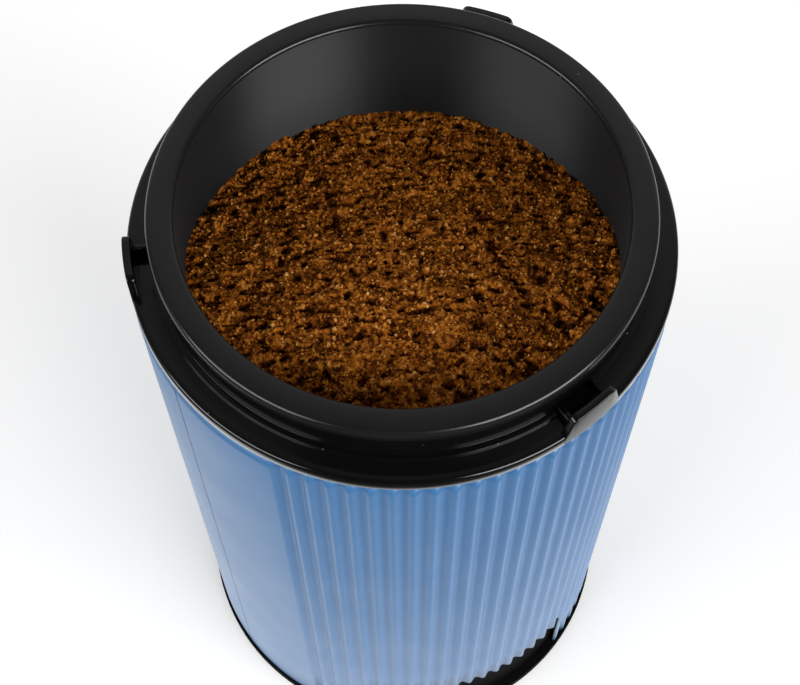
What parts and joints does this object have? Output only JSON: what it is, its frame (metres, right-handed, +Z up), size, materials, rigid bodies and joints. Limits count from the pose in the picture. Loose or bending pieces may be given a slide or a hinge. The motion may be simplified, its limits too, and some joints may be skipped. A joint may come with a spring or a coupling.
{
  "type": "electric spice grinder",
  "caption": "Electric spice grinder: a removable cup with a spinning blade in a bayonet collar on a fluted metal sleeve that houses a universal motor.",
  "frame": {"origin": "centre of the plane that the rubber feet stand on", "axes": "+Z up along the motor shaft; the cord outlet faces +Y and the cut-out in the sleeve faces -Y"},
  "size_m": [0.0932, 0.0932, 0.15],
  "materials": {
    "sleeve_paint": "satin blue paint on rolled sheet",
    "gloss_black": "gloss black moulding",
    "satin_black": "satin black moulding",
    "dark_plastic": "fine matt texture",
    "white_plastic": "natural nylon",
    "rubber": "matt black rubber",
    "steel": "ground steel",
    "cast_metal": "die cast",
    "laminations": "stacked electrical steel",
    "bronze": "sintered bronze",
    "copper": "enamelled copper wire",
    "carbon": "pressed carbon",
    "circuit": "solder mask green",
    "components": "moulded component cases"
  },
  "bodies": {
    "base": {"outer_sleeve": "sleeve_paint", "collar": "gloss_black", "inner_housing": "dark_plastic", "motor_frame": "dark_plastic", "base_ring": "gloss_black", "bottom_cover": "dark_plastic", "rubber_feet": "rubber", "cover_screws": "steel", "cord_grommet": "rubber", "shaft_seal": "rubber", "motor_dampers": "rubber", "mount_screws": "steel", "upper_bracket": "cast_metal", "upper_bearing": "bronze", "stator_core": "laminations", "field_coils": "copper", "stator_screws": "steel", "lower_bracket": "cast_metal", "lower_bearing": "bronze", "brush_holders": "bronze", "carbon_brushes": "carbon", "brush_springs": "steel", "circuit_board": "circuit", "board_parts": "components", "board_screws": "steel", "microswitch": "dark_plastic", "switch_screws": "steel", "interlock_spring": "steel"},
    "rotor": {"motor_shaft": "steel", "armature_core": "laminations", "armature_windings": "copper", "commutator": "copper", "cooling_fan": "white_plastic", "drive_coupler": "dark_plastic"},
    "cup": {"grinding_cup": "satin_black", "cup_bearing": "bronze", "cup_seal": "rubber"},
    "blade_unit": {"blade": "steel", "blade_spindle": "steel", "blade_nut": "steel", "driven_coupler": "dark_plastic"},
    "interlock": {"interlock_rod": "white_plastic"},
    "button": {"switch_button": "white_plastic"}
  },
  "joints": [
    {"name": "rotor_spin", "type": "hinge", "parent": "base", "child": "rotor", "pos_m": [0, 0, 0.05], "axis": [0, 0, 1], "continuous": true},
    {"name": "cup_lift", "type": "slide", "parent": "base", "child": "cup", "axis": [0, 0, 1], "range_m": [0, 0.07]},
    {"name": "blade_spin", "type": "hinge", "parent": "cup", "child": "blade_unit", "pos_m": [0, 0, 0.105], "axis": [0, 0, 1], "continuous": true},
    {"name": "interlock_press", "type": "slide", "parent": "base", "child": "interlock", "axis": [0, 0, -1], "range_m": [0, 0.0015], "stiffness_N_per_m": 150, "springref_m": -0.004, "deforming": ["interlock_spring"]},
    {"name": "switch_press", "type": "slide", "parent": "base", "child": "button", "axis": [0, 0, -1], "range_m": [0, 0.0015]}
  ],
  "couplings": [
    {"joint": "blade_spin", "follows": "rotor_spin", "ratio": 1},
    {"joint": "switch_press", "follows": "interlock_press", "ratio": 1}
  ]
}
